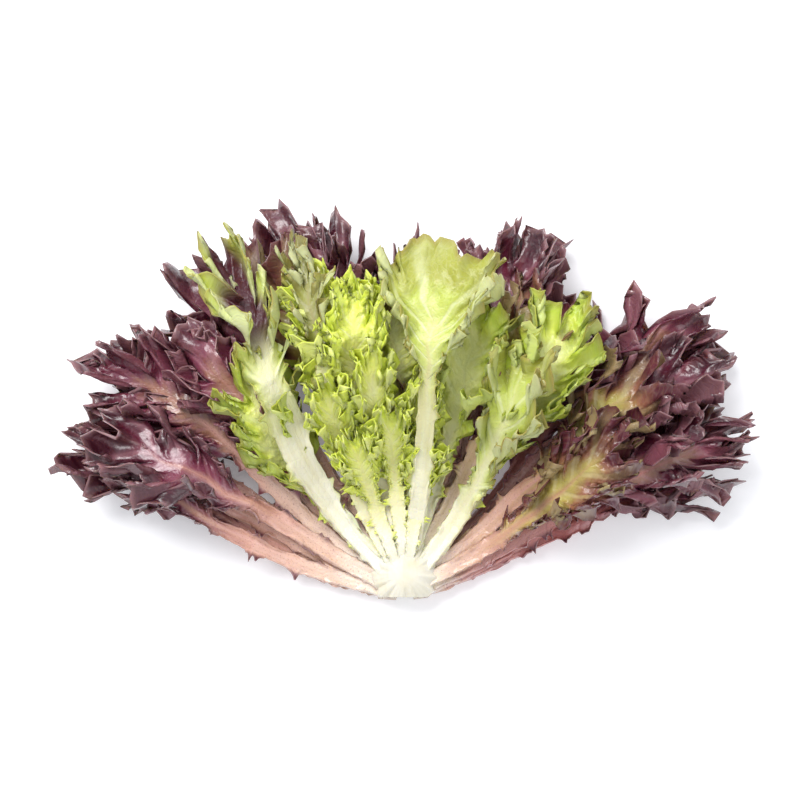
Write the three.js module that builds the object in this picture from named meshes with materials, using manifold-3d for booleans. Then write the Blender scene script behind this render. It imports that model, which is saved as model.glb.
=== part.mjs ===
import * as THREE from 'three';
import { mergeVertices } from 'three/addons/utils/BufferGeometryUtils.js';
import Module from 'manifold-3d';

// Half a head of frilly red lettuce, cut lengthwise and lying on its back with the cut side up.
// Millimetres, +Z up. Leaves fan out from the core, and the middle ones point along +Y.

// Core: the stub of the stem with the leaf bases grown onto it
const coreRadius = 12;
const coreBottom = 3.5;
const coreBack = 10; // from the fan's centre to the cut butt
const coreSquareness = 3; // 2 is a round underside, more is boxier

// Leaf sheets
const bladeThickness = 1.3;
const ribThickness = 1.7;
const ribEnd = 90; // where the thick rib has run out into the blade
const stackClearance = 0.4; // between one level and the next
const sideClearance = 0.35; // between neighbours on a level, at the core
const sideClearanceSlope = 0.006; // and what each millimetre outward adds to it

// Frill: how far the waves of a margin swing up and down
const frillStart = 22;
const frillPeak = 108;
const frillHeight = 4.4;
const frillEnd = 170;
const frillEndHeight = 2.6;
const waveLength = 30;
const narrowLeaf = 10; // degrees of the fan, below which a sheet has two strips and not four
const lobeDepth = 0.13; // share of the half width, twice that between lobes

// How the lowest level lies on what it rests on: its ribs flat, its hanging frills pressed out
const levelGround = 52; // from here outward it lies flat
const tipRise = 7;
const tipRiseStart = 118;

// The fan's centre, so that the whole lies in the middle of its frame
const fanCentre = new THREE.Vector3(1.89, -71.58, 0);

const kinds = {
  purple: { colour: 0x532a3a, steps: 10 },
  bronze: { colour: 0x76613a, steps: 13 },
  green: { colour: 0xa3bd45, steps: 14 },
  pale: { colour: 0xc9dc95, steps: 15 },
  heart: { colour: 0xc6da3c, steps: 10 },
};

// Each level of the stack, lowest first. A leaf is [from, to, reach]: the edges of its share of the
// fan in degrees from +Y, clockwise from above, and the distance of its tip from the fan's centre.
// A fourth entry is its kind, where that isn't its level's. A level's angles are multiplied by
// gather at the core, where stalks stand side by side, and sway is what its tips turn further.
const gatherEnd = 130;
const levels = [
  { kind: 'purple', gather: 1.12, sway: -5, leaves: [
    [-76, -55, 150], [-54, -34, 138], [-31, -9, 156], [-6, 16, 116], [17, 37, 152],
    [38, 58, 146], [59, 79, 150],
  ] },
  { kind: 'purple', gather: 1.12, sway: 4, leaves: [
    [-82, -69, 118], [-68, -51, 156], [-50, -34, 150], [-33, -12, 160], [-10, 8, 132],
    [9, 27, 150], [28, 43, 128], [44, 62, 163], [63, 78, 138],
  ] },
  { kind: 'purple', gather: 1.12, sway: -3, leaves: [
    [-77, -58, 153], [-57, -42, 152], [-40, -25, 156], [-23, -3, 150], [-1, 15, 138],
    [16, 34, 150], [42, 60, 164], [61, 79, 152],
  ] },
  { kind: 'purple', gather: 1.12, sway: 3, leaves: [
    [-80, -66, 140], [-65, -47, 157], [-46, -28, 140], [-26, -8, 146], [-6, 10, 122],
    [12, 27, 148], [28, 43, 124], [44, 58, 158], [59, 75, 148],
  ] },
  { kind: 'bronze', gather: 1.1, sway: -2, leaves: [
    [-74, -50, 138, 'purple'], [-49, -31, 132, 'purple'], [-30, -8, 145], [-7, 16, 124],
    [17, 41, 132], [42, 66, 134],
  ] },
  { kind: 'green', gather: 1.3, sway: 2, leaves: [
    [-44, -28, 108], [-27, -11, 128, 'heart'], [-10, 5, 122, 'heart'], [6, 21, 118],
    [22, 40, 130], [42, 60, 106, 'bronze'],
  ] },
  { kind: 'pale', gather: 1.7, sway: 0, leaves: [
    [-34, -22.5, 166], [-22, -14, 150], [-13.5, -2, 118, 'heart'], [-1.5, 17, 132], [18, 32, 106],
  ] },
  { kind: 'heart', gather: 2.3, sway: 0, leaves: [[-20, -10, 84], [-9.5, -0.5, 90], [0, 9, 76]] },
  { kind: 'heart', gather: 2.6, sway: 0, leaves: [[-14, -6, 60], [-5.5, 1.5, 66], [2, 8.5, 54]] },
];

// Half width of a leaf as a share of its room on the level, from its base to its tip
const outline = new THREE.SplineCurve([
  new THREE.Vector2(0, 0.9),
  new THREE.Vector2(0.22, 0.52),
  new THREE.Vector2(0.45, 0.62),
  new THREE.Vector2(0.74, 1),
  new THREE.Vector2(0.92, 0.74),
  new THREE.Vector2(1, 0.2),
]);

const { smoothstep, lerp, degToRad } = THREE.MathUtils;

function frillRoom(radius) {
  const rising = frillHeight * smoothstep(radius, frillStart, frillPeak);
  const fading = smoothstep(radius, frillPeak, frillEnd);
  return lerp(rising, frillEndHeight, fading);
}

function ribAt(radius) {
  const spent = smoothstep(radius, coreRadius, ribEnd);
  return lerp(ribThickness, bladeThickness, spent);
}

function levelHeight(level, radius) {
  const spacing = ribAt(radius) + 2 * frillRoom(radius) + stackClearance;
  const atCore = coreBottom + ribThickness;
  const onGround = ribAt(radius) / 2;
  const ground = lerp(atCore, onGround, smoothstep(radius, coreRadius, levelGround));
  return ground + tipRise * smoothstep(radius, tipRiseStart, frillEnd) + level * spacing;
}

// The cut face of the core is level with the highest leaves' bases.
const coreDepth = levelHeight(levels.length - 1, coreRadius) + ribThickness / 2 - coreBottom;

// Margins swing in waves that grow from the rib outward, each leaf at a phase of its own.
function wave(radius, across, phase) {
  const turn = (2 * Math.PI * radius) / waveLength + phase + (across > 0 ? 1.9 : 0);
  return frillRoom(radius) * Math.abs(across) ** 1.4 * Math.sin(turn);
}

function lobes(radius, across, phase) {
  const turn = (4 * Math.PI * radius) / waveLength + phase * 1.7;
  const depth = lobeDepth * smoothstep(radius, frillStart, frillPeak);
  return 1 - depth * (1 + Math.sin(turn + across));
}

// A flat box whose upper and lower faces are split along the same diagonals, so that a twisted
// sheet keeps its thickness. The lower face is the last group of the box.
function blankSheet(steps, widthSteps) {
  const box = new THREE.BoxGeometry(1, 1, 1, steps, widthSteps, 1);
  const corners = box.index.array;
  const lower = box.groups[5];
  for (let i = lower.start; i < lower.start + lower.count; i += 6) {
    const [a, b, d, , c] = corners.slice(i, i + 6);
    corners.set([a, b, c, a, c, d], i);
  }
  box.deleteAttribute('normal');
  box.deleteAttribute('uv');
  return mergeVertices(box);
}

// The sheet is bent into a leaf: its length runs from base to tip, its width from margin to margin.
function leafGeometry(level, [from, to, reach], steps, phase) {
  const { gather, sway } = levels[level];
  const sheet = blankSheet(steps, to - from < narrowLeaf ? 2 : 4);
  const start = coreRadius + stackClearance;
  const middle = degToRad((from + to) / 2);
  const halfAngle = degToRad((to - from) / 2);
  const place = sheet.attributes.position;
  for (let i = 0; i < place.count; i += 1) {
    const along = place.getX(i) + 0.5;
    const across = 2 * place.getY(i);
    const radius = lerp(start, reach, along);
    const clear = (sideClearance + sideClearanceSlope * radius) / radius;
    const spread = lerp(gather, 1, smoothstep(radius, coreRadius, gatherEnd));
    const share = outline.getPointAt(along).y * lobes(radius, across, phase);
    const swing = degToRad(sway) * smoothstep(radius, coreRadius, frillEnd);
    const azimuth = spread * middle + swing - across * share * (spread * halfAngle - clear);
    const thickness = lerp(ribAt(radius), bladeThickness, Math.abs(across));
    const side = place.getZ(i) * thickness;
    const height = levelHeight(level, radius) + wave(radius, across, phase) + side;
    const table = side > 0 ? thickness : 0;
    place.setXYZ(i, radius * Math.sin(azimuth), radius * Math.cos(azimuth), Math.max(height, table));
  }
  return sheet;
}

function makeLeaf(name, kind, geometry) {
  geometry.computeVertexNormals();
  const material = new THREE.MeshStandardMaterial({
    color: kinds[kind].colour,
    roughness: 0.42,
    metalness: 0,
    name,
  });
  const mesh = new THREE.Mesh(geometry, material);
  mesh.name = name;
  mesh.position.copy(fanCentre);
  return mesh;
}

function toManifold(wasm, geometry) {
  const bare = geometry.clone();
  bare.deleteAttribute('normal');
  bare.deleteAttribute('uv');
  const merged = mergeVertices(bare, 1e-4);
  return new wasm.Manifold(new wasm.Mesh({
    numProp: 3,
    vertProperties: new Float32Array(merged.attributes.position.array),
    triVerts: new Uint32Array(merged.index.array),
  }));
}

function fromManifold(solid) {
  const { vertProperties, triVerts } = solid.getMesh();
  const geometry = new THREE.BufferGeometry();
  geometry.setAttribute('position', new THREE.BufferAttribute(vertProperties, 3));
  geometry.setIndex(new THREE.BufferAttribute(triVerts, 1));
  return geometry;
}

// The stem turned about its own length, then cut flat along it.
function coreGeometry(wasm) {
  const profile = [new THREE.Vector2(0, -coreBack)];
  profile.push(new THREE.Vector2(coreRadius * 0.9, -coreBack));
  profile.push(new THREE.Vector2(coreRadius, 1.5 - coreBack));
  for (let i = 0; i <= 6; i += 1) {
    const turn = (i / 6) * (Math.PI / 2);
    profile.push(new THREE.Vector2(coreRadius * Math.cos(turn), coreRadius * Math.sin(turn)));
  }
  const stem = new THREE.LatheGeometry(profile, 24);
  const place = stem.attributes.position;
  for (let i = 0; i < place.count; i += 1) {
    const x = place.getX(i);
    const z = place.getZ(i);
    const turn = Math.atan2(z, x);
    const sides = [Math.cos(turn), Math.sin(turn)];
    const power = sides.reduce((sum, side) => sum + Math.abs(side) ** coreSquareness, 0);
    const boxy = power ** (-1 / coreSquareness);
    place.setXYZ(i, x, place.getY(i), z * boxy * (coreDepth / coreRadius));
  }
  const above = new THREE.BoxGeometry(4 * coreRadius, 6 * coreRadius, 3 * coreDepth);
  above.translate(0, 0, 1.5 * coreDepth);
  const half = toManifold(wasm, stem).subtract(toManifold(wasm, above));
  const geometry = fromManifold(half);
  geometry.translate(0, 0, coreBottom + coreDepth);
  return geometry;
}

function makeCore(wasm) {
  const geometry = coreGeometry(wasm);
  geometry.computeVertexNormals();
  const material = new THREE.MeshStandardMaterial({
    color: 0xf3efdc,
    roughness: 0.55,
    metalness: 0,
    name: 'core',
  });
  const mesh = new THREE.Mesh(geometry, material);
  mesh.name = 'core';
  mesh.position.copy(fanCentre);
  return mesh;
}

const wasm = await Module();
wasm.setup();

const group = new THREE.Group();
group.add(makeCore(wasm));
levels.forEach((row, level) => {
  row.leaves.forEach((leaf, i) => {
    const kind = leaf[3] ?? row.kind;
    const phase = 2.4 * (i + 7 * level);
    const geometry = leafGeometry(level, leaf, kinds[row.kind].steps, phase);
    group.add(makeLeaf(`leaf_${level + 1}_${i + 1}`, kind, geometry));
  });
});

export default group;
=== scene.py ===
import functools
import math
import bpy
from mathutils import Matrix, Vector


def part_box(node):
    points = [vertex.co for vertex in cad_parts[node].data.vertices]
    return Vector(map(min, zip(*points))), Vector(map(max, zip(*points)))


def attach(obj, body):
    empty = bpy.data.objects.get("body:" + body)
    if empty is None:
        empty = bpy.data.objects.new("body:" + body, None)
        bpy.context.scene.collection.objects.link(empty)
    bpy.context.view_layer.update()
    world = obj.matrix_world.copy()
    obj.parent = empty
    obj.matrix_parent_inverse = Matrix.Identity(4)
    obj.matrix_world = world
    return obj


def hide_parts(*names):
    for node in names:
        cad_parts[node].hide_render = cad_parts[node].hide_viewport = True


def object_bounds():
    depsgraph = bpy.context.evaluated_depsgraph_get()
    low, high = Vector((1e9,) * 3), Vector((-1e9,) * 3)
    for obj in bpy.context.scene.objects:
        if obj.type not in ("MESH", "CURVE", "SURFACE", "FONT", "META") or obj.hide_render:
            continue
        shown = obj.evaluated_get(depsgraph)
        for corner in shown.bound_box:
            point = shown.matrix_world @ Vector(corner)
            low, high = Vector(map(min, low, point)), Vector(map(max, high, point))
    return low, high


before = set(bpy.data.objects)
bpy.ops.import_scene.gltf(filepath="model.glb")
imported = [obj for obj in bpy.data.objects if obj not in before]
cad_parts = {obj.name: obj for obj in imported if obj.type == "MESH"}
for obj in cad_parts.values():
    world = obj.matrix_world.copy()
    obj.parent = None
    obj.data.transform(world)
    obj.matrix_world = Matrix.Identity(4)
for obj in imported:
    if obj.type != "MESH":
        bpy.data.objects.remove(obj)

from types import SimpleNamespace

import bpy
import numpy as np
from mathutils import Vector

# Half a head of frilly red lettuce, lying cut side up. Each leaf of the frame is taken over by a
# frilled leaf that follows its rib, and the core by a stub with grown-on leaf bases.


def plain(corners):
    return [list(corner) for corner in corners]


frameBox = plain(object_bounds())
print("frame box", frameBox)

coreLow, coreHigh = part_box("core")
fan = {
    "coreBack": 0.010,  # from the cut butt to the point that the leaves fan out from
    "x": (coreLow.x + coreHigh.x) / 2,
}
fan["y"] = coreLow.y + fan["coreBack"]


def smooth(value, start, end):
    part = np.clip((value - start) / (end - start), 0, 1)
    return part * part * (3 - 2 * part)


def linear(hexColour):
    channels = [int(hexColour[i : i + 2], 16) / 255 for i in (1, 3, 5)]
    turned = [c / 12.92 if c <= 0.04045 else ((c + 0.055) / 1.055) ** 2.4 for c in channels]
    return (*turned, 1.0)


# Adds a node with its settings, its inputs as values or links, and a ramp's stops, and gives one output
def addNode(tree, kind, settings=None, inputs=None, stops=None, output=0):
    node = tree.nodes.new(kind)
    for name, value in (settings or {}).items():
        setattr(node, name, value)
    for name, value in (inputs or {}).items():
        if isinstance(value, bpy.types.NodeSocket):
            tree.links.new(value, node.inputs[name])
        else:
            node.inputs[name].default_value = linear(value) if isinstance(value, str) else value
    if stops:
        points = node.color_ramp.elements
        while len(points) < len(stops):
            points.new(0.5)
        for point, (place, colour) in zip(points, stops):
            point.position = place
            point.color = linear(colour) if isinstance(colour, str) else (colour, colour, colour, 1)
    return node.outputs[output] if node.outputs else node


def newMaterial(name):
    material = bpy.data.materials.new(name)
    material.use_nodes = True
    material.node_tree.nodes.clear()
    return material, functools.partial(addNode, material.node_tree)


# What the maths and mix nodes do, and a mix node's sockets for its factor and two colours
maths, mixer = "ShaderNodeMath", "ShaderNodeMix"
times = {"operation": "MULTIPLY"}
plus = {"operation": "ADD"}
minus = {"operation": "SUBTRACT"}
timesPlus = {"operation": "MULTIPLY_ADD"}
blend = {"data_type": "RGBA", "blend_type": "MIX"}
factor, first, second, mixed = 0, 6, 7, 2

# Patterns of a leaf: their size in mm, their detail, and what they lie in
leafPatterns = {
    "blotch": (14, 4, "solid"),  # patches of deeper or paler colour
    "gloss": (6, 3, "solid"),  # patches where the wax is duller
    "blister": (5.0, 2, "flat"),  # bulges between veins
    "wrinkle": (1.6, 2, "flat"),
    "freckle": (0.7, 1, "flat"),  # red freckles of a stalk
    "grain": (1.6, 2, "drawnOut"),  # long fibres of a stalk
    "streak": (3.2, 3, "drawnOut"),  # coloured streaks along a stalk
}

leafFinish = {
    "cell": 2.6,  # mm between the finest veins, drawn twice as coarse as real so that they show
    "drawnOut": 0.06,  # how much fibres are drawn out along a stalk
    "patternRoughness": 0.55,
    "bladeStops": (0.05, 0.32, 0.6, 0.9),  # where a blade's four colours lie, rib to margin
    "stalkStops": (0.06, 0.26, 0.5, 0.85),  # where a stalk's four colours lie, from the core outward
    "towardsMargin": 0.85,  # what moves a blade's colour along its stops
    "towardsTip": 0.5,
    "tipBalance": -0.3,
    "bladeBlotch": 0.7,
    "bladeShade": 0.5,
    "stalkBlotch": 0.3,
    "stalkShade": 0.16,
    "netLine": 0.16,  # width of the finest veins, as a share of a cell
    "netShows": 0.08,
    "veinShows": 0.6,
    "fibreColour": "#fffdf0",
    "fibreShows": 0.5,
    "fibreBalance": -0.12,
    "streakEdges": (0.46, 0.62),
    "blushColour": "#b8606a",
    "freckleColour": "#8f4a50",
    "freckleEdges": (0.6, 0.7),
    "flushColour": "#4b2029",
    "rimFrom": 0.9,  # share of the way from rib to margin where the rim's tint starts; on purple leaves this band is a painted highlight
    "underBlotch": 0.8,
    "wrinkleHeight": 0.4,  # heights are shares of a blister's
    "netHeight": -0.12,
    "veinAbove": -0.25,  # veins are sunk on the upper side
    "veinBelow": 0.4,  # and stand out underneath
    "grainHeight": 0.35,
    "reliefStrength": 0.75,
    "reliefDepth": 0.0009,  # metres
    "glossChange": 0.26,
    "ior": 1.42,
    "waxRoughness": 0.2,
    "lightTint": (1.0, 0.8, 0.25),  # red travels furthest inside, then green
    "lightDepth": 0.002,  # metres that light travels inside
}

# Blade colours run from beside the rib to the margin, stalk colours from the core outward.
leafTones = {
    "purple": {
        "blade": ["#9a6e58", "#803e52", "#5e1d32", "#3c101e"],
        "stalk": ["#f0e8da", "#ecd0ba", "#d8a896", "#a06a64"],
        "vein": "#a4717a", "under": "#875a5e", "underMix": 0.35, "freckles": 0.5, "blushing": 0.68,
        # purple rim: a painted highlight, a lighter pink band where thin margins catch the light
        "rough": 0.29, "glow": 0.15, "wax": 0.75, "rim": ["#b08488", 0.9],
        "streak": 0.9, "streakColour": "#a87a52",
    },
    "bronze": {
        "blade": ["#ccc678", "#b0a24e", "#94604a", "#622a36"],
        "stalk": ["#f0e9da", "#e8d6b8", "#d8b094", "#b08c6c"],
        "vein": "#c6b886", "under": "#a3955c", "underMix": 0.5, "freckles": 0.35, "blushing": 0.45,
        "rough": 0.32, "glow": 0.2, "wax": 0.5, "rim": ["#451a26", 0.6],
        "streak": 1.2, "streakColour": "#b0a058",
    },
    "green": {
        "blade": ["#e2e392", "#cdd75a", "#b0c43e", "#98993a"],
        "stalk": ["#ebe8d6", "#e4dfc2", "#d8d89c", "#c3cc78"],
        "vein": "#dde2a0", "under": "#c8d284", "underMix": 0.5, "freckles": 0.0, "blushing": 0.0,
        "rough": 0.36, "glow": 0.25, "wax": 0.12, "rim": ["#75502f", 0.5],
        "streak": 0.8, "streakColour": "#b7bf62",
    },
    "pale": {
        "blade": ["#dedfa6", "#ccd37c", "#b6c254", "#a3a646"],
        "stalk": ["#eae7d6", "#e3dec6", "#dad8b0", "#cdd08e"],
        "vein": "#e4e6bc", "under": "#cfd79a", "underMix": 0.5, "freckles": 0.0, "blushing": 0.0,
        "rough": 0.38, "glow": 0.25, "wax": 0.12, "rim": ["#8a5a42", 0.7],
        "streak": 0.9, "streakColour": "#c4b878",
    },
    "heart": {
        "blade": ["#f0ecb8", "#eaea8a", "#dfe568", "#cbd84e"],
        "stalk": ["#ebe8d8", "#e8e1c8", "#dfdaa8", "#cfd07a"],
        "vein": "#f0eeb0", "under": "#ecee8c", "underMix": 0.5, "freckles": 0.0, "blushing": 0.0,
        "rough": 0.4, "glow": 0.4, "wax": 0.1, "rim": ["#dcea58", 0.4],
        "streak": 0.6, "streakColour": "#d0cf74",
    },
}


# Fresh leaf tissue: a waxy skin over juicy cells, so it has a soft broken gloss, lets some light
# into itself, shows a net of paler veins and darkens in patches towards the margin.
def leafSkin(kind, under):
    tone = leafTones[kind]
    look = leafFinish
    material, add = newMaterial(f"{kind} leaf {'underside' if under else 'upper side'}")
    flat = add("ShaderNodeUVMap", {"uv_map": "leafLie"})
    lies = {
        "flat": flat,
        "solid": add("ShaderNodeTexCoord", output="Object"),
        "drawnOut": add("ShaderNodeMapping", inputs={"Vector": flat, "Scale": (look["drawnOut"], 1.0, 1.0)}),
    }
    edge, along, vein, rib, shade, blush, flush = (
        add("ShaderNodeAttribute", {"attribute_name": name}, output="Fac")
        for name in ("edge", "along", "vein", "rib", "shade", "blush", "flush")
    )
    pattern = {}
    for name, (size, detail, lie) in leafPatterns.items():
        spread = {"Scale": 1000 / size, "Detail": detail, "Roughness": look["patternRoughness"]}
        pattern[name] = add("ShaderNodeTexNoise", inputs={"Vector": lies[lie], **spread}, output="Fac")
    blotch, grain = pattern["blotch"], pattern["grain"]

    # blade: four colours that drift with blotches, the leaf's own shade and its length, under a net of veins
    patch = add(maths, timesPlus, {0: blotch, 1: look["bladeBlotch"], 2: -look["bladeBlotch"] / 2})
    place = add(maths, plus, {0: add(maths, times, {0: edge, 1: look["towardsMargin"]}), 1: patch})
    own = add(maths, timesPlus, {0: shade, 1: look["bladeShade"], 2: -look["bladeShade"] / 2})
    place = add(maths, plus, {0: place, 1: own})
    tipward = add(maths, timesPlus, {0: along, 1: look["towardsTip"], 2: look["tipBalance"]})
    place = add(maths, plus, {0: place, 1: tipward})
    bladeStops = list(zip(look["bladeStops"], tone["blade"]))
    blade = add("ShaderNodeValToRGB", inputs={"Fac": place}, stops=bladeStops)
    cells = {"Vector": flat, "Scale": 1000 / look["cell"], "Randomness": 1.0}
    net = add("ShaderNodeTexVoronoi", {"feature": "DISTANCE_TO_EDGE"}, cells, output="Distance")
    netLine = add("ShaderNodeValToRGB", inputs={"Fac": net}, stops=[(0.0, 1.0), (look["netLine"], 0.0)])
    for line, share in ((netLine, look["netShows"]), (vein, look["veinShows"])):
        shown = add(maths, times, {0: line, 1: share})
        blade = add(mixer, blend, {factor: shown, first: blade, second: tone["vein"]}, output=mixed)

    # stalk: four colours with fibres, coloured streaks, a red blush and freckles
    patch = add(maths, timesPlus, {0: blotch, 1: look["stalkBlotch"], 2: -look["stalkBlotch"] / 2})
    own = add(maths, timesPlus, {0: shade, 1: look["stalkShade"], 2: -look["stalkShade"] / 2})
    place = add(maths, plus, {0: add(maths, plus, {0: along, 1: patch}), 1: own})
    stalkStops = list(zip(look["stalkStops"], tone["stalk"]))
    stalk = add("ShaderNodeValToRGB", inputs={"Fac": place}, stops=stalkStops)
    shown = add(maths, timesPlus, {0: grain, 1: look["fibreShows"], 2: look["fibreBalance"]})
    fibres = {factor: shown, first: stalk, second: look["fibreColour"]}
    stalk = add(mixer, {**blend, "blend_type": "SOFT_LIGHT"}, fibres, output=mixed)
    edges = list(zip(look["streakEdges"], (0.0, 1.0)))
    streak = add("ShaderNodeValToRGB", inputs={"Fac": pattern["streak"]}, stops=edges)
    shown = add(maths, times, {0: streak, 1: add(maths, times, {0: along, 1: tone["streak"]})})
    stalk = add(mixer, blend, {factor: shown, first: stalk, second: tone["streakColour"]}, output=mixed)
    shown = add(maths, times, {0: blush, 1: tone["blushing"]})
    stalk = add(mixer, blend, {factor: shown, first: stalk, second: look["blushColour"]}, output=mixed)
    edges = list(zip(look["freckleEdges"], (0.0, 1.0)))
    speck = add("ShaderNodeValToRGB", inputs={"Fac": pattern["freckle"]}, stops=edges)
    shown = add(maths, times, {0: speck, 1: tone["freckles"]})
    stalk = add(mixer, blend, {factor: shown, first: stalk, second: look["freckleColour"]}, output=mixed)

    # the rim's tint (on purple leaves a painted highlight, lighter where thin margins catch the light), the
    # flush between two ribs, and a duller, paler underside
    # rim band: the margin's own tint, and on purple leaves a painted highlight
    rimTintAndHighlight, rimStrength = tone["rim"]
    edges = [(look["rimFrom"], 0.0), (1.0, rimStrength)]
    atRim = add("ShaderNodeValToRGB", inputs={"Fac": edge}, stops=edges)
    shown = add(maths, times, {0: atRim, 1: blotch})
    blade = add(mixer, blend, {factor: shown, first: blade, second: rimTintAndHighlight}, output=mixed)
    colour = add(mixer, blend, {factor: rib, first: blade, second: stalk}, output=mixed)
    colour = add(mixer, blend, {factor: flush, first: colour, second: look["flushColour"]}, output=mixed)
    if under:
        shown = add(maths, times, {0: blotch, 1: look["underBlotch"]})
        dull = add(mixer, blend, {factor: shown, first: tone["under"], second: tone["vein"]}, output=mixed)
        colour = add(mixer, blend, {factor: tone["underMix"], first: colour, second: dull}, output=mixed)

    # relief: blisters and wrinkles off the rib, veins, and fibres on it
    height = add(maths, timesPlus, {0: pattern["wrinkle"], 1: look["wrinkleHeight"], 2: pattern["blister"]})
    height = add(maths, times, {0: add(maths, minus, {0: 1.0, 1: rib}), 1: height})
    height = add(maths, timesPlus, {0: netLine, 1: look["netHeight"], 2: height})
    height = add(maths, timesPlus, {0: vein, 1: look["veinBelow" if under else "veinAbove"], 2: height})
    onRib = add(maths, times, {0: grain, 1: rib})
    height = add(maths, timesPlus, {0: onRib, 1: look["grainHeight"], 2: height})
    relief = {"Height": height, "Strength": look["reliefStrength"], "Distance": look["reliefDepth"]}
    dullest = tone["rough"] - look["glossChange"] / 2
    skin = add("ShaderNodeBsdfPrincipled", inputs={
        "Base Color": colour,
        "Roughness": add(maths, timesPlus, {0: pattern["gloss"], 1: look["glossChange"], 2: dullest}),
        "Normal": add("ShaderNodeBump", inputs=relief),
        "IOR": look["ior"],
        "Subsurface Weight": tone["glow"],
        "Subsurface Radius": look["lightTint"],
        "Subsurface Scale": look["lightDepth"],
        "Coat Weight": 0.0 if under else tone["wax"],
        "Coat Roughness": look["waxRoughness"],
    })
    add("ShaderNodeOutputMaterial", inputs={"Surface": skin})
    return material


# Habits of a kind, in metres unless said otherwise:
# blade, stalk, neck: half widths of the blade, of the stalk, and of the stalk where the blade begins
# wing: how far toothed wings stand out from a stalk, as a share of its half width
# bladeFrom, ribEnd: where the blade begins and the rib runs out, as shares of the length
# lobes, teeth: how many in each half of the margin; lobeDepth, toothDepth: as shares of the half width
# lobeSwing: how far lobes swing up and down; rib, sheet: thickness of rib and margin
# curl: how far a margin turns up, in radians; bulge, crinkle: heights of the blade's relief
# ruffles: (waves along one side of the blade, height, how far out they start)
leafHabits = {
    "purple": {
        "blade": 0.025, "stalk": 0.0034, "neck": 0.0040, "wing": 1.3, "bladeFrom": 0.52,
        "ribEnd": 0.86, "lobes": 6.6, "lobeDepth": 0.58, "lobeSwing": 0.0062, "teeth": 24,
        "toothDepth": 0.08, "rib": 0.0044, "sheet": 0.0005, "curl": 0.75, "bulge": 0.0011,
        "ruffles": [(1.8, 0.0056, 0.0), (7.2, 0.0042, 0.20), (15.0, 0.0022, 0.42), (28, 0.0008, 0.65)],
        "crinkle": 0.0006,
    },
    "bronze": {
        "blade": 0.024, "stalk": 0.0036, "neck": 0.0042, "wing": 1.2, "bladeFrom": 0.48,
        "ribEnd": 0.84, "lobes": 5.2, "lobeDepth": 0.52, "lobeSwing": 0.0062, "teeth": 19,
        "toothDepth": 0.08, "rib": 0.0044, "sheet": 0.0005, "curl": 0.8, "bulge": 0.0010,
        "ruffles": [(1.7, 0.0045, 0.0), (5.8, 0.0036, 0.25), (13.0, 0.0020, 0.45), (27, 0.0007, 0.7)],
        "crinkle": 0.0003,
    },
    "green": {
        "blade": 0.022, "stalk": 0.0034, "neck": 0.0040, "wing": 1.2, "bladeFrom": 0.40,
        "ribEnd": 0.84, "lobes": 5.6, "lobeDepth": 0.32, "lobeSwing": 0.0044, "teeth": 22,
        "toothDepth": 0.12, "rib": 0.0032, "sheet": 0.0005, "curl": 0.9, "bulge": 0.0008,
        "ruffles": [(1.7, 0.0036, 0.0), (6.5, 0.0036, 0.20), (14.0, 0.0024, 0.40), (29, 0.0010, 0.6)],
        "crinkle": 0.0008,
    },
    "pale": {
        "blade": 0.024, "stalk": 0.0040, "neck": 0.0048, "wing": 0.8, "bladeFrom": 0.50,
        "ribEnd": 0.76, "lobes": 3.8, "lobeDepth": 0.24, "lobeSwing": 0.0042, "teeth": 18,
        "toothDepth": 0.08, "rib": 0.0040, "sheet": 0.0005, "curl": 0.6, "bulge": 0.0005,
        "ruffles": [(1.4, 0.0030, 0.0), (5.4, 0.0028, 0.40), (12.0, 0.0018, 0.6), (27, 0.0007, 0.75)],
        "crinkle": 0.0003,
    },
    "heart": {
        "blade": 0.0125, "stalk": 0.0024, "neck": 0.0038, "wing": 1.3, "bladeFrom": 0.53,
        "ribEnd": 0.88, "lobes": 7.5, "lobeDepth": 0.30, "lobeSwing": 0.0034, "teeth": 30,
        "toothDepth": 0.16, "rib": 0.0030, "sheet": 0.0004, "curl": 0.9, "bulge": 0.0004,
        "ruffles": [(2.2, 0.0012, 0.0), (9.5, 0.0026, 0.28), (19, 0.0019, 0.42), (38, 0.0008, 0.6)],
        "crinkle": 0.0007,
    },
}

# Each level's kind, and its steps round the margin and from rib to margin, lowest level first
levels = [
    ("purple", (340, 13)), ("purple", (340, 13)), ("purple", (340, 13)), ("purple", (480, 19)),
    ("bronze", (480, 19)), ("green", (600, 22)), ("pale", (600, 22)),
    ("heart", (520, 16)), ("heart", (520, 16)),
]

# The finely crisped leaves beside the heart
crisped = {
    "lobes": 10, "lobeDepth": 0.26, "teeth": 36, "curl": 0.7, "stalk": 0.0028, "neck": 0.0036,
    "blade": 0.022, "bladeFrom": 0.42, "ribEnd": 0.88, "bulge": 0.0014, "crinkle": 0.0013,
    "ruffles": [(2.0, 0.0028, 0.0), (6.5, 0.0030, 0.10), (14, 0.0030, 0.25), (27, 0.0018, 0.45)],
}

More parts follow.
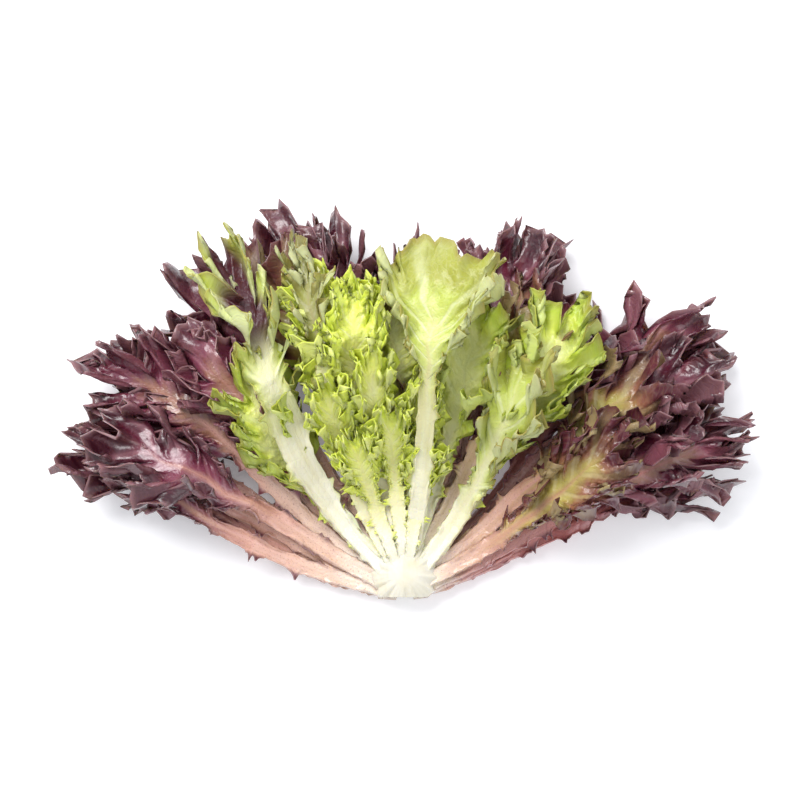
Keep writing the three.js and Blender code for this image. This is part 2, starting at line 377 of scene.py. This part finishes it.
# What sets one leaf apart from its habit. Tone is its kind of colour, veer turns its outer half (in
# radians), roll tips it (in radians), widest is where its blade is widest, cleft is how deep its tip
# is split, flush is how strong its dark flush is, and raise and arch lift it.
characters = {
    "leaf_1_1": {"blade": 0.021, "veer": 0.05},
    "leaf_1_2": {"blade": 0.020, "veer": -0.04},
    "leaf_1_7": {"blade": 0.020, "veer": -0.05, "bladeFrom": 0.58},
    "leaf_2_1": {"blade": 0.013, "veer": 0.04, "bladeFrom": 0.6},
    "leaf_2_3": {"blade": 0.018, "veer": 0.05, "bladeFrom": 0.6},
    "leaf_2_9": {"blade": 0.014, "veer": -0.02, "bladeFrom": 0.6},
    "leaf_3_1": {"blade": 0.023, "veer": 0.02},
    "leaf_3_8": {"blade": 0.020, "veer": -0.05},
    "leaf_4_1": {"blade": 0.019, "veer": 0.10, "bladeFrom": 0.56},
    "leaf_4_9": {"blade": 0.021, "veer": -0.05},
    "leaf_5_1": {"tone": "purple"},
    "leaf_5_2": {"tone": "purple"},
    "leaf_6_2": {"tone": "heart", **crisped},
    "leaf_6_3": {"tone": "heart", **crisped},
    "leaf_6_6": {"tone": "bronze"},
    "leaf_7_1": {
        "stalk": 0.0032, "neck": 0.0080, "blade": 0.019, "bladeFrom": 0.50, "wing": 0.9,
        "lobeDepth": 0.62, "lobes": 4.4, "lobeSwing": 0.006, "ribEnd": 0.80, "widest": 0.8,
        "cleft": 0.3, "flush": 1.0, "roll": -0.1,
        "ruffles": [(1.4, 0.0030, 0.0), (5.4, 0.0040, 0.5), (12.0, 0.0024, 0.6), (27, 0.0008, 0.75)],
    },
    "leaf_7_2": {
        "stalk": 0.0028, "neck": 0.0036, "blade": 0.012, "bladeFrom": 0.58, "wing": 1.6,
        "lobeDepth": 0.6, "lobes": 5, "ribEnd": 0.88, "widest": 0.7, "cleft": 0.4, "flush": 0.5,
    },
    "leaf_7_3": {"tone": "heart", **crisped, "blade": 0.019, "neck": 0.0044, "bladeFrom": 0.45},
    "leaf_7_4": {
        "blade": 0.029, "bladeFrom": 0.56, "neck": 0.0042, "ribEnd": 0.76, "roll": 0.0, "curl": 0.45,
        "lobeDepth": 0.20, "lobes": 5.4, "widest": 0.80, "lobeSwing": 0.0036, "raise": 0.003,
        "arch": 0.011, "bulge": 0.0010,
        "ruffles": [(1.4, 0.0030, 0.0), (5.4, 0.0038, 0.50), (12.0, 0.0028, 0.64), (27, 0.0011, 0.78)],
    },
    "leaf_7_5": {
        "blade": 0.020, "bladeFrom": 0.40, "widest": 0.75, "lobes": 5, "lobeSwing": 0.005,
        "ruffles": [(1.6, 0.0036, 0.0), (6.0, 0.0034, 0.35), (13.0, 0.0022, 0.5), (28, 0.0009, 0.65)],
    },
}

# How every leaf is cut
leafCut = {
    "widest": 0.68,  # share of the blade's length
    "footFlare": 0.7,  # how much wider a stalk's foot is
    "footEnd": 0.1,
    "veinSweep": 1.15,  # how much side veins sweep forward
    "tipPast": 1.03,  # the tip lies a little past the rib's line
    "lobeDrift": 0.07,  # how uneven the lobes are
    "toothDrift": 0.04,
    "leftAndRight": 1.3,  # what sets a leaf's right lobes apart from its left ones, in radians
    "bayPower": 1.6,  # above 1, bays are narrow and lobes are round
    "toothPower": 0.8,
    "toothHeights": (0.6, 0.4),  # a tooth's usual depth, and how much that varies
    "fineTeeth": (2.7, 0.03),  # number and depth against the other teeth and the half width
    "cleftWidth": 0.045,
    "tufts": (0.16, 0.3),  # from where to where the toothed wings fade in along a stalk
    "tuftsShow": (3, 0.2),  # how steeply a wing begins, and how seldom there is one
    "wingTeeth": (1.6, 0.75, 0.7),  # number against the margin's teeth, depth, and how round
    "lobeStart": 3,  # radians that the first lobe lies further on at most
    "lobeReach": 0.003,  # metres that lobes reach forward
}

# How every leaf is frilled
leafFrill = {
    "bladeFades": (0.85, 0.22),  # where the blade's frills begin, around bladeFrom
    "stalkWidth": 1.6,
    "curls": (0.75, 0.7),  # the usual share of a habit's curl, and how much that varies
    "bulges": (410, 480),  # radians a metre, lengthwise and sideways, so about 14 mm apart
    "bulgesBend": (2, 20),  # radians that rows of bulges bend, and in how many waves a metre
    "bulgesFrom": (0.1, 0.4),  # shares of the way from rib to margin
    "crinkles": (1150, 700, 650, 1200),  # two slanting rows about 5 mm apart
    "crinklesBend": (2.5, 45, 40),
    "crinklesFrom": (0.12, 0.45),
    "lobesFrom": 0.3,
    "lobePower": 1.4,
    "lobeTurn": 0.4,  # radians between a lobe and its swing
    "lobePull": 0.35,  # how much a swing draws a margin in
    "rufflePower": 1.25,
    "ruffleDrift": 0.32,
    "ruffleUneven": 0.45,
    "ruffleSlide": 0.5,
    "slideTurn": 0.6,  # radians between a ruffle and its slide
    "wholeLength": 0.8,  # how much the ruffles' spacing follows the whole leaf besides its blade
    "sidesMeet": (0.8, 1),  # shares of the blade where the ruffles of both sides join up
    "rufflePull": 0.3,
    "onStalk": 0.15,  # share of the ruffles that a stalk has
}

# How every leaf lies
leafLie = {
    "footStart": 0.003,  # metres from the fan's point; the foot runs into the core
    "sink": (0.004, 0.003, 0.014),  # how deep a foot lies in the core, and between which distances it rises
    "backward": (0.0075, 0.008, 0.07),  # how far back side stalks start, and where they come forward
    "wander": 0.06,  # radians that ribs swerve at most
    "lean": 0.05,
    "heave": (0.004, 0.7),  # metres that ribs rise and fall, and how quickly
    "roll": 0.35,  # radians that leaves are tipped at most
    "twist": 0.3,
    "reach": (-0.02, 1.1),  # how far a blade may go, in lengths from its foot, as in the next five
    "veerFrom": (0.2, 0.8),
    "riseFrom": (0.15, 0.6),
    "archRises": (0.06, 0.3),
    "archFalls": (0.5, 0.9),
    "rollFrom": (0.1, 0.6),
    "tight": 0.05,  # radians, the least curl
    "fold": 1.7,  # radians, the most
    "stalkCurl": 0.5,
    "roof": frameBox[1][2] + 0.001,  # above it, frills flatten out
    "roofGives": 0.006,  # metres that they may stand above it
    "skin": 0.0012,  # the least height of a leaf's middle above the table
    "floorGives": (0.0007, 0.004),  # metres that a pressed leaf gives, and how softly
    "ribBelow": 0.85,  # how much of a rib's thickness lies below its middle
    "buttTrim": 0.0004,  # feet end this far inside the cut butt
}


# The rib's line through a leaf of the frame, read from its rings of corners about the fan's centre
def readRib(node):
    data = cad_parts[node].data
    corners = np.empty(len(data.vertices) * 3)
    data.vertices.foreach_get("co", corners)
    corners = corners.reshape(-1, 3) - (fan["x"], fan["y"], 0)
    reach = np.round(np.hypot(corners[:, 0], corners[:, 1]), 5)
    turn = np.arctan2(corners[:, 0], corners[:, 1])
    rings = []
    for radius in np.unique(reach):
        ring = np.abs(reach - radius) < 2e-5
        if ring.sum() >= 6:
            middle = (turn[ring].min() + turn[ring].max()) / 2
            rings.append((radius, middle, corners[ring, 2].mean()))
    line = np.array(rings)
    line[0, 0] = leafLie["footStart"]
    return line


anyTurn = (0, 6.3)  # radians
wavering = {"rate": (0.6, 2.6), "size": (0.4, 1)}  # how quick and how high its waves are


# An uneven line between -1 and 1, the sum of a few slow waves
def waver(random, count=4):
    parts = [
        (random.uniform(*wavering["rate"]), random.uniform(*anyTurn), random.uniform(*wavering["size"]))
        for _ in range(count)
    ]

    def line(t):
        return sum(size * np.sin(2 * np.pi * rate * t + turn) for rate, turn, size in parts) / count

    return line


# The flat leaf. Across runs 0 to 1 round the margin, from the stalk's left foot over the tip to its
# right foot, and out runs 0 to 1 from the rib to the margin.
def cutLeaf(across, out, length, habit, random):
    side = np.where(across < 0.5, -1.0, 1.0)
    up = 1 - np.abs(2 * across - 1)
    start = habit["bladeFrom"]
    part = np.clip((up - start) / (1 - start), 0, 1)

    # a narrow stalk, then a blade that widens and closes round the tip
    widest = habit.get("widest", leafCut["widest"])
    widen = smooth(part, 0.0, widest)
    close = np.sqrt(np.clip(1 - np.clip((part - widest) / (1 - widest), 0, 1) ** 2, 0, 1))
    foot = 1 + leafCut["footFlare"] * (1 - smooth(up, 0, leafCut["footEnd"]))
    taper = smooth(up, leafCut["footEnd"], start)
    stalk = (habit["stalk"] + (habit["neck"] - habit["stalk"]) * taper) * foot
    half = (stalk + (habit["blade"] - stalk) * widen) * close
    veinFoot = np.minimum(up, start) + (habit["ribEnd"] - start) * part ** leafCut["veinSweep"]
    edgeUp = np.minimum(up, start) + (leafCut["tipPast"] - start) * part
    rootPoint = np.stack([veinFoot * length, 0 * half], -1)
    margin = np.stack([edgeUp * length, side * half], -1)

    # round lobes with narrow bays between them, each with teeth, and toothed wings on the stalk
    drift = waver(random)
    unevenPart = part + leafCut["lobeDrift"] * drift(part * side + 3)
    lobePhase = np.pi * habit["lobes"] * unevenPart + random.uniform(0, leafCut["lobeStart"])
    lobePhase = lobePhase + np.where(side > 0, leafCut["leftAndRight"], 0)
    bay = (1 - np.abs(np.sin(lobePhase))) ** leafCut["bayPower"]
    toothPhase = np.pi * habit["teeth"] * (up + leafCut["toothDrift"] * drift(3 * up + side)) + side
    usual, change = leafCut["toothHeights"]
    tooth = np.abs(np.sin(toothPhase)) ** leafCut["toothPower"] * (usual + change * drift(5 * up + side))
    fineNumber, fineDepth = leafCut["fineTeeth"]
    fine = np.abs(np.sin(toothPhase * fineNumber)) ** leafCut["toothPower"]
    cut = habit["lobeDepth"] * bay * widen + habit["toothDepth"] * tooth + fineDepth * fine
    cut = cut + habit.get("cleft", 0) * np.exp(-(((across - 0.5) / leafCut["cleftWidth"]) ** 2))
    steep, seldom = leafCut["tuftsShow"]
    tuft = np.clip(steep * drift(6 * up + 2 * side) - seldom, 0, 1)
    tuft = tuft * (1 - widen) * smooth(up, *leafCut["tufts"])
    number, depth, power = leafCut["wingTeeth"]
    wing = habit["wing"] * tuft * (1 - depth * np.abs(np.sin(number * toothPhase)) ** power)
    reach = (1 - cut + wing)[..., None] * out[..., None]
    flat = rootPoint + (margin - rootPoint) * reach
    flat[..., 0] += leafCut["lobeReach"] * (1 - bay) * out**3 * widen
    return SimpleNamespace(
        side=side, up=up, out=out, part=part, start=start, stalk=stalk, flat=flat, drift=drift,
        lobePhase=lobePhase, toothPhase=toothPhase,
    )


# Where the rib runs in space, and which way the blade lies beside it
def layRib(leaf, ribLine, length, habit, random):
    t = np.clip(leaf.flat[..., 0] / length, *leafLie["reach"])  # share of the way to the tip
    radius = ribLine[0, 0] + t * length
    turn = np.interp(radius, ribLine[:, 0], ribLine[:, 1])
    wander, lean = leafLie["wander"], leafLie["lean"]
    turn = turn + random.uniform(-wander, wander) * np.sin(np.pi * np.clip(t, 0, 1))
    turn = turn + random.uniform(-lean, lean) * t**2
    turn = turn + habit.get("veer", 0) * smooth(t, *leafLie["veerFrom"])
    height = np.interp(radius, ribLine[:, 0], ribLine[:, 2])
    bend = waver(random, 3)
    heave, quick = leafLie["heave"]
    height = height + (heave * bend(t * quick) + habit.get("raise", 0)) * smooth(t, *leafLie["riseFrom"])
    arch = habit.get("arch", 0) * smooth(t, *leafLie["archRises"])
    height = height + arch * (1 - smooth(t, *leafLie["archFalls"]))
    sink, sunkTo, risenAt = leafLie["sink"]
    height = height - sink * (1 - smooth(radius, sunkTo, risenAt))
    back, backTo, forwardAt = leafLie["backward"]
    backward = back * np.abs(np.sin(turn)) * (1 - smooth(radius, backTo, forwardAt))
    roll = habit.get("roll", random.uniform(-leafLie["roll"], leafLie["roll"]))
    roll = roll * smooth(t, *leafLie["rollFrom"])
    roll = (roll + leafLie["twist"] * random.uniform(-1, 1) * t)[..., None]
    sideways = np.stack([np.cos(turn), -np.sin(turn), 0 * turn], -1)
    leaf.t = t
    leaf.centre = np.stack([radius * np.sin(turn), radius * np.cos(turn) - backward, height], -1)
    leaf.forward = np.stack([np.sin(turn), np.cos(turn), 0 * turn], -1)
    leaf.lateral = sideways * np.cos(roll) + np.array([0, 0, 1.0]) * np.sin(roll)
    leaf.normal = np.cross(leaf.lateral, leaf.forward)


# The blade bends up round the rib; lobes swing in turn, and ruffles ride on them and fold over
def frillBlade(leaf, habit, random):
    up, out, part, side, drift = leaf.up, leaf.out, leaf.part, leaf.side, leaf.drift
    along, aside = leaf.flat[..., 0], leaf.flat[..., 1]
    before, after = leafFrill["bladeFades"]
    blade = smooth(up, leaf.start * before, leaf.start + after)
    usual, change = leafFrill["curls"]
    curl = habit["curl"] * (usual + change * drift(1.6 * up + 2 * side)) * blade
    curl = np.maximum(curl + leafLie["stalkCurl"] * (1 - blade), leafLie["tight"])
    width = habit["blade"] * blade + leafFrill["stalkWidth"] * leaf.stalk * (1 - blade)
    bentBy = np.clip(curl * np.abs(aside) / width, 0, leafLie["fold"])
    outward = width / curl * np.sin(bentBy)
    raised = width / curl * (1 - np.cos(bentBy))

    folds = random.uniform(*anyTurn, 4)
    lengthwise, sideways = leafFrill["bulges"]
    bends, waves = leafFrill["bulgesBend"]
    bulge = np.sin(along * lengthwise + folds[0] + bends * drift(aside * waves))
    bulge = bulge * np.sin(aside * sideways + folds[1] + bends * drift(along * waves + 1))
    swing = habit["bulge"] * bulge * blade * smooth(out, *leafFrill["bulgesFrom"])
    rowAlong, rowAside, crossAlong, crossAside = leafFrill["crinkles"]
    bends, acrossIt, alongIt = leafFrill["crinklesBend"]
    crinkle = np.sin(rowAlong * along + rowAside * aside + folds[2] + bends * drift(aside * acrossIt))
    crinkle = crinkle * np.sin(crossAlong * along - crossAside * aside + bends * drift(along * alongIt))
    swing = swing + habit["crinkle"] * crinkle * blade * smooth(out, *leafFrill["crinklesFrom"])

    growth = smooth(out, leafFrill["lobesFrom"], 1.0) ** leafFrill["lobePower"] * blade
    lift = habit["lobeSwing"] * np.sin(leaf.lobePhase + leafFrill["lobeTurn"]) * growth
    swing = swing + lift
    slide = 0 * swing
    pull = -leafFrill["lobePull"] * np.abs(lift)
    onStalk = leafFrill["onStalk"]
    for waves, size, inner in habit["ruffles"]:
        uneven = leafFrill["ruffleDrift"] * drift(up * 1.7 + side * waves)
        phase = 2 * np.pi * (waves * (part + leafFrill["wholeLength"] * up) + uneven)
        further = np.where(side > 0, random.uniform(*anyTurn), 0)
        phase = phase + further * (1 - smooth(part, *leafFrill["sidesMeet"]))
        growth = smooth(out, inner, 1.0) ** leafFrill["rufflePower"] * (onStalk + (1 - onStalk) * blade)
        height = size * (1 + leafFrill["ruffleUneven"] * drift(up * 2.3 + waves)) * growth
        swing = swing + height * np.sin(phase)
        slide = slide + leafFrill["ruffleSlide"] * height * np.sin(2 * phase + leafFrill["slideTurn"])
        pull = pull - leafFrill["rufflePull"] * height * np.abs(np.cos(phase))
    away = side * (outward + pull - swing * np.sin(bentBy))
    above = raised + swing * np.cos(bentBy)
    place = leaf.centre + leaf.lateral * away[..., None] + leaf.normal * above[..., None]
    place = place + leaf.forward * slide[..., None]
    return place + (fan["x"], fan["y"], 0)


# Keeps a leaf above the table, under the roof and in front of the butt's cut
def settle(place, ribDepth, habit):
    floor = leafLie["skin"] + leafLie["ribBelow"] * habit["rib"] * ribDepth
    sunk = np.maximum(floor - place[:, 2], 0)
    give, softness = leafLie["floorGives"]
    place[:, 2] = np.where(sunk > 0, floor - give * np.tanh(sunk / softness), place[:, 2])
    roof, softness = leafLie["roof"], leafLie["roofGives"]
    tall = np.maximum(place[:, 2] - roof, 0)
    place[:, 2] = np.where(tall > 0, roof + softness * np.tanh(tall / softness), place[:, 2])
    place[:, 1] = np.maximum(place[:, 1], coreLow.y + leafLie["buttTrim"])


def deselectAll():
    if bpy.context.object and bpy.context.object.mode != "OBJECT":
        bpy.ops.object.mode_set(mode="OBJECT")
    bpy.ops.object.select_all(action="DESELECT")


# Where a leaf changes colour, along its length unless said otherwise
leafMarks = {
    "veinWidth": 0.05,
    "sideVeins": (0.5, 0.3),  # number against the teeth, and strength
    "veinsFade": 0.5,  # below 1, veins stay strong almost to the margin
    "veinsAside": (0.0, 0.1),  # where veins begin, as shares of the way out, and along the leaf
    "veinsAlong": (0.2, 0.5),
    "ribLeast": 0.0006,  # metres
    "ribFades": (0.9, 0.6, 0.95),  # how much the rib's colour fades, and where along the leaf
    "stalkEdge": (0.8, 1.4),  # shares of a stalk's half width where the blade's colour takes over
    "stalkEnd": (0.1, 0.14),  # before and after bladeFrom
    "flushAside": (0.005, 0.012),  # metres beside the middle
    "flushAlong": (0.58, 0.70),
    "blushLeast": 0.25,
    "blushAlong": (0.03, 0.22),
    "leaning": (0.2, 0.9),  # how far right a leaf points where its stalk gets redder
}


# What the skins read: how far out and along a corner lies, and where veins, rib, blush and flush are
def colourLeaf(mesh, leaf, ribHalf, leaning, habit, random):
    t, up, out, aside = leaf.t, leaf.up, leaf.out, np.abs(leaf.flat[:, 1])
    fades, fadesFrom, fadesTo = leafMarks["ribFades"]
    rib = np.exp(-((aside / np.maximum(ribHalf, leafMarks["ribLeast"])) ** 2))
    rib = rib * (1 - fades * smooth(t, fadesFrom, fadesTo))
    stalkFrom, stalkTo = leafMarks["stalkEdge"]
    onStalk = 1 - smooth(aside, stalkFrom * leaf.stalk, stalkTo * leaf.stalk)
    before, after = leafMarks["stalkEnd"]
    onStalk = onStalk * (1 - smooth(t, leaf.start - before, leaf.start + after))
    veins = np.exp(-(((1 - np.abs(np.sin(leaf.lobePhase))) / leafMarks["veinWidth"]) ** 2))
    number, strength = leafMarks["sideVeins"]
    sideVeins = np.exp(-(((1 - np.abs(np.sin(number * leaf.toothPhase))) / leafMarks["veinWidth"]) ** 2))
    veins = np.maximum(veins, strength * sideVeins)
    inner = (1 - smooth(aside, *leafMarks["flushAside"])) * smooth(t, *leafMarks["flushAlong"])
    blush = leafMarks["blushLeast"] + (1 - leafMarks["blushLeast"]) * leaning
    veins = veins * (1 - out) ** leafMarks["veinsFade"]
    veins = veins * smooth(out, *leafMarks["veinsAside"]) * smooth(up, *leafMarks["veinsAlong"])
    read = {
        "edge": out,
        "along": np.clip(t, 0, 1),
        "vein": veins,
        "rib": np.clip(np.maximum(rib, onStalk), 0, 1),
        "shade": np.full(len(out), random.uniform(0, 1)),
        "blush": blush * smooth(t, *leafMarks["blushAlong"]),
        "flush": np.minimum(1, habit.get("flush", 0) * inner),
    }
    for name, values in read.items():
        layer = mesh.attributes.new(name, "FLOAT", "POINT")
        layer.data.foreach_set("value", values.astype(np.float32).ravel())


# How a leaf's mesh and its thickness are laid out
leafFlesh = {
    "finer": 1.25,  # above 1, rows lie closer towards the margin
    "ribNarrows": (0.85, 0.1, 0.85),  # by what share, and between which shares of the length
    "ribSpread": (1.1, 0.0008),  # how far the flesh spreads against the rib's half width; least, in metres
    "ribThins": (0.75, 0.1, 0.95),
    "lieApart": (0.31, 0.07),  # metres between one leaf's patterns and the next one's
    "weld": 0.00002,  # metres
    "offset": -0.6,  # how far the thickness lies on the lower side, from -1 to 1
}


def buildLeaf(node, kind, steps, seed):
    random = np.random.default_rng(seed)
    habit = {**leafHabits[kind], **characters.get(node, {})}
    tone = habit.get("tone", kind)
    deselectAll()
    bpy.ops.mesh.primitive_grid_add(x_subdivisions=steps[0], y_subdivisions=steps[1], size=2)
    piece = bpy.context.object
    piece.name = f"{tone}_{node}"
    mesh = piece.data
    corners = np.empty(len(mesh.vertices) * 3)
    mesh.vertices.foreach_get("co", corners)
    corners = corners.reshape(-1, 3)
    across = (corners[:, 0] + 1) / 2
    out = 1 - (0.5 - corners[:, 1] / 2) ** leafFlesh["finer"]

    ribLine = readRib(node)
    length = ribLine[-1, 0] - ribLine[0, 0]
    leaf = cutLeaf(across, out, length, habit, random)
    layRib(leaf, ribLine, length, habit, random)
    place = frillBlade(leaf, habit, random)
    loss, lossFrom, lossTo = leafFlesh["ribNarrows"]
    ribHalf = habit["neck"] * (1 - loss * smooth(leaf.t, lossFrom, lossTo))
    spread, least = leafFlesh["ribSpread"]
    ribDepth = np.exp(-((leaf.flat[:, 1] / np.maximum(spread * ribHalf, least)) ** 2))
    loss, lossFrom, lossTo = leafFlesh["ribThins"]
    ribDepth = ribDepth * (1 - loss * smooth(leaf.t, lossFrom, lossTo))
    settle(place, ribDepth, habit)
    mesh.vertices.foreach_set("co", place.astype(np.float32).ravel())

    leaning = smooth(np.sin(ribLine[-1, 1]), *leafMarks["leaning"])
    colourLeaf(mesh, leaf, ribHalf, leaning, habit, random)
    lie = mesh.uv_layers.new(name="leafLie")
    corner = np.empty(len(mesh.loops), int)
    mesh.loops.foreach_get("vertex_index", corner)
    lengthwise, sideways = leafFlesh["lieApart"]
    spots = leaf.flat[corner] + (seed * lengthwise, sideways)
    lie.data.foreach_set("uv", spots.astype(np.float32).ravel())
    for under in (False, True):
        mesh.materials.append(skins[tone, under])

    # closed along the rib, then thick at the rib and thin at the margin
    flesh = piece.vertex_groups.new(name="flesh")
    for i, weight in enumerate(ribDepth):
        flesh.add([i], float(weight), "REPLACE")
    bpy.ops.object.mode_set(mode="EDIT")
    bpy.ops.mesh.select_all(action="SELECT")
    bpy.ops.mesh.remove_doubles(threshold=leafFlesh["weld"])
    bpy.ops.object.mode_set(mode="OBJECT")
    thicken = piece.modifiers.new("flesh", "SOLIDIFY")
    thicken.thickness = habit["rib"]
    thicken.offset = leafFlesh["offset"]
    thicken.vertex_group = "flesh"
    thicken.thickness_vertex_group = habit["sheet"] / habit["rib"]
    thicken.material_offset = 1
    thicken.material_offset_rim = 0
    bpy.ops.object.modifier_apply(modifier="flesh")
    bpy.ops.object.shade_smooth()
    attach(piece, "root")
    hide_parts(node)
    return piece


skins = {(kind, under): leafSkin(kind, under) for kind in leafTones for under in (False, True)}
print("skins made", len(skins))

for level, (kind, steps) in enumerate(levels, start=1):
    nodes = sorted(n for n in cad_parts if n.startswith(f"leaf_{level}_"))
    pieces = [buildLeaf(node, kind, steps, 100 * level + i) for i, node in enumerate(nodes)]
    print("level", level, "leaves", len(pieces), "faces", sum(len(piece.data.polygons) for piece in pieces))


core = {
    "segments": 144,
    "ring": 72,
    "crown": 0.0075,  # metres that the cut face domes up
    "top": 0.80,  # share of the stub's half width that the dome has
    "skirt": 0.588,  # how much wider it gets below, where the leaf bases wrap it
    "flutes": [(11, 0.030, 0.4), (17, 0.026, 1.7), (29, 0.014, 0.9)],  # number round the stub, depth, turn
    "flutesFrom": 0.45,  # share of the half width inside which the cut face is smooth
    "fluteHeight": 0.006,
    "sharpEdge": math.radians(40),
}

stemFinish = {
    "cloud": 7,  # mm across clouds of paler and creamier pith
    "fibre": 1.1,  # mm between the strands
    "drawnOut": 0.12,
    "pith": [(0.3, "#e9e6da"), (0.6, "#e5e0ce"), (0.85, "#dfd5b8")],
    "strandColour": "#e6dfc6",
    "strandShows": 0.25,
    "relief": {"Strength": 0.5, "Distance": 0.0005},
    "gloss": (0.3, 0.3),  # how much roughness changes with the clouds, and its least
    "ior": 1.4,
    "glow": 0.3,
    "lightTint": (1.0, 0.9, 0.6),
    "lightDepth": 0.003,  # metres
}


# Cut stem: wet white pith, cloudy inside and drawn out in fine strands along the stem.
def stemFlesh():
    look = stemFinish
    material, add = newMaterial("cut lettuce stem")
    solid = add("ShaderNodeTexCoord", output="Object")
    spread = {"Vector": solid, "Scale": 1000 / look["cloud"], "Detail": 4.0}
    clouds = add("ShaderNodeTexNoise", inputs=spread, output="Fac")
    colour = add("ShaderNodeValToRGB", inputs={"Fac": clouds}, stops=look["pith"])
    drawnOut = add("ShaderNodeMapping", inputs={"Vector": solid, "Scale": (1.0, look["drawnOut"], 1.0)})
    spread = {"Vector": drawnOut, "Scale": 1000 / look["fibre"], "Detail": 2.0}
    strands = add("ShaderNodeTexNoise", inputs=spread, output="Fac")
    shown = add(maths, times, {0: strands, 1: look["strandShows"]})
    strandMix = {factor: shown, first: colour, second: look["strandColour"]}
    change, least = look["gloss"]
    flesh = add("ShaderNodeBsdfPrincipled", inputs={
        "Base Color": add(mixer, {**blend, "blend_type": "MULTIPLY"}, strandMix, output=mixed),
        "Roughness": add(maths, timesPlus, {0: clouds, 1: change, 2: least}),
        "Normal": add("ShaderNodeBump", inputs={"Height": strands, **look["relief"]}),
        "IOR": look["ior"],
        "Subsurface Weight": look["glow"],
        "Subsurface Radius": look["lightTint"],
        "Subsurface Scale": look["lightDepth"],
    })
    add("ShaderNodeOutputMaterial", inputs={"Surface": flesh})
    return material


# A ball, domed low above its widest ring, deeper and wider below it, fluted, and cut off at the butt
def buildCore():
    deselectAll()
    middle = Vector((fan["x"], fan["y"], coreHigh.z))
    half = (coreHigh.x - coreLow.x) / 2
    depth = coreHigh.z - core["crown"] - coreLow.z
    bpy.ops.mesh.primitive_uv_sphere_add(segments=core["segments"], ring_count=core["ring"], radius=1)
    stub = bpy.context.object
    stub.name = "core_stub"
    bpy.ops.object.mode_set(mode="EDIT")
    bpy.ops.mesh.select_all(action="SELECT")
    bpy.ops.transform.resize(value=(half, half, half))
    bpy.ops.transform.translate(value=middle)
    bpy.ops.object.mode_set(mode="OBJECT")
    for vertex in stub.data.vertices:
        side, back, rise = (vertex.co - middle) / half
        turn = math.atan2(side, back)
        fall = smooth((1 - rise) / 2, 0, 1)  # 0 on top, 1 underneath
        ridges = sum(size * math.cos(count * turn + start) for count, size, start in core["flutes"])
        ridges *= smooth(math.hypot(side, back), core["flutesFrom"], 1) if rise > 0 else 1
        wide = (core["top"] + core["skirt"] * fall) * (1 + ridges)
        height = rise * (core["crown"] if rise > 0 else depth) - core["crown"] + core["fluteHeight"] * ridges
        vertex.co = middle + Vector((side * half * wide, back * half * wide, height))
    bpy.ops.object.mode_set(mode="EDIT")
    bpy.ops.mesh.select_all(action="SELECT")
    butt = Vector((0, coreLow.y, 0))
    bpy.ops.mesh.bisect(plane_co=butt, plane_no=(0, -1, 0), clear_outer=True, use_fill=True)
    bpy.ops.object.mode_set(mode="OBJECT")
    stub.data.materials.append(stemFlesh())
    bpy.ops.object.shade_smooth_by_angle(angle=core["sharpEdge"])
    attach(stub, "root")
    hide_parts("core")


buildCore()
print("core made")

studio = {
    "acrossView": 0.331,  # metres that the picture spans at the leaves
    "elevation": 86,  # degrees
    "lens": 85,
    "sensor": 36,
    "aim": (0, 0, 0.03),
    "clipEnd": 20,
    "tableSize": 6,
    "tableColour": "#fafafc",
    "tableRoughness": 0.6,
    "tableGlow": ("#f6f7fa", 0.16),  # lit a little from below, so shadows stay faint
    "lamps": [("keyLight", (-0.45, 0.6, 1.1), 0.8, 17), ("fillLight", (0.9, -0.4, 1.0), 1.0, 4)],
    "sky": ("#f2f4f8", 0.74),
}


# Matt white board, so plain that only the soft shadow shows on it
def layTable():
    deselectAll()
    bpy.ops.mesh.primitive_plane_add(size=studio["tableSize"], location=(0, 0, 0))
    table = bpy.context.object
    table.name = "table"
    material, add = newMaterial("white table")
    glow, strength = studio["tableGlow"]
    board = add("ShaderNodeBsdfPrincipled", inputs={
        "Base Color": studio["tableColour"],
        "Roughness": studio["tableRoughness"],
        "Emission Color": glow,
        "Emission Strength": strength,
    })
    add("ShaderNodeOutputMaterial", inputs={"Surface": board})
    table.data.materials.append(material)


def addLamp(name, place, size, power):
    lamp = bpy.data.lights.new(name, "AREA")
    lamp.shape = "DISK"
    lamp.size = size
    lamp.energy = power
    holder = bpy.data.objects.new(name, lamp)
    holder.location = place
    holder.rotation_euler = (-Vector(place)).to_track_quat("-Z", "Y").to_euler()
    bpy.context.scene.collection.objects.link(holder)


def addCamera():
    camera = bpy.data.objects.new("camera", bpy.data.cameras.new("camera"))
    bpy.context.scene.collection.objects.link(camera)
    camera.data.lens = studio["lens"]
    camera.data.sensor_width = studio["sensor"]
    camera.data.clip_end = studio["clipEnd"]
    lift = math.radians(studio["elevation"])
    target = Vector(studio["aim"])
    away = studio["acrossView"] * studio["lens"] / studio["sensor"]
    camera.location = target + away * Vector((0, -math.cos(lift), math.sin(lift)))
    camera.rotation_euler = (target - camera.location).to_track_quat("-Z", "Y").to_euler()
    bpy.context.scene.camera = camera


def addSky():
    world = bpy.data.worlds.new("studio")
    bpy.context.scene.world = world
    world.use_nodes = True
    colour, strength = studio["sky"]
    sky = world.node_tree.nodes["Background"]
    sky.inputs["Color"].default_value = linear(colour)
    sky.inputs["Strength"].default_value = strength


layTable()
for lamp in studio["lamps"]:
    addLamp(*lamp)
addCamera()
addSky()
bpy.context.scene.view_settings.view_transform = "Standard"
print("studio set")
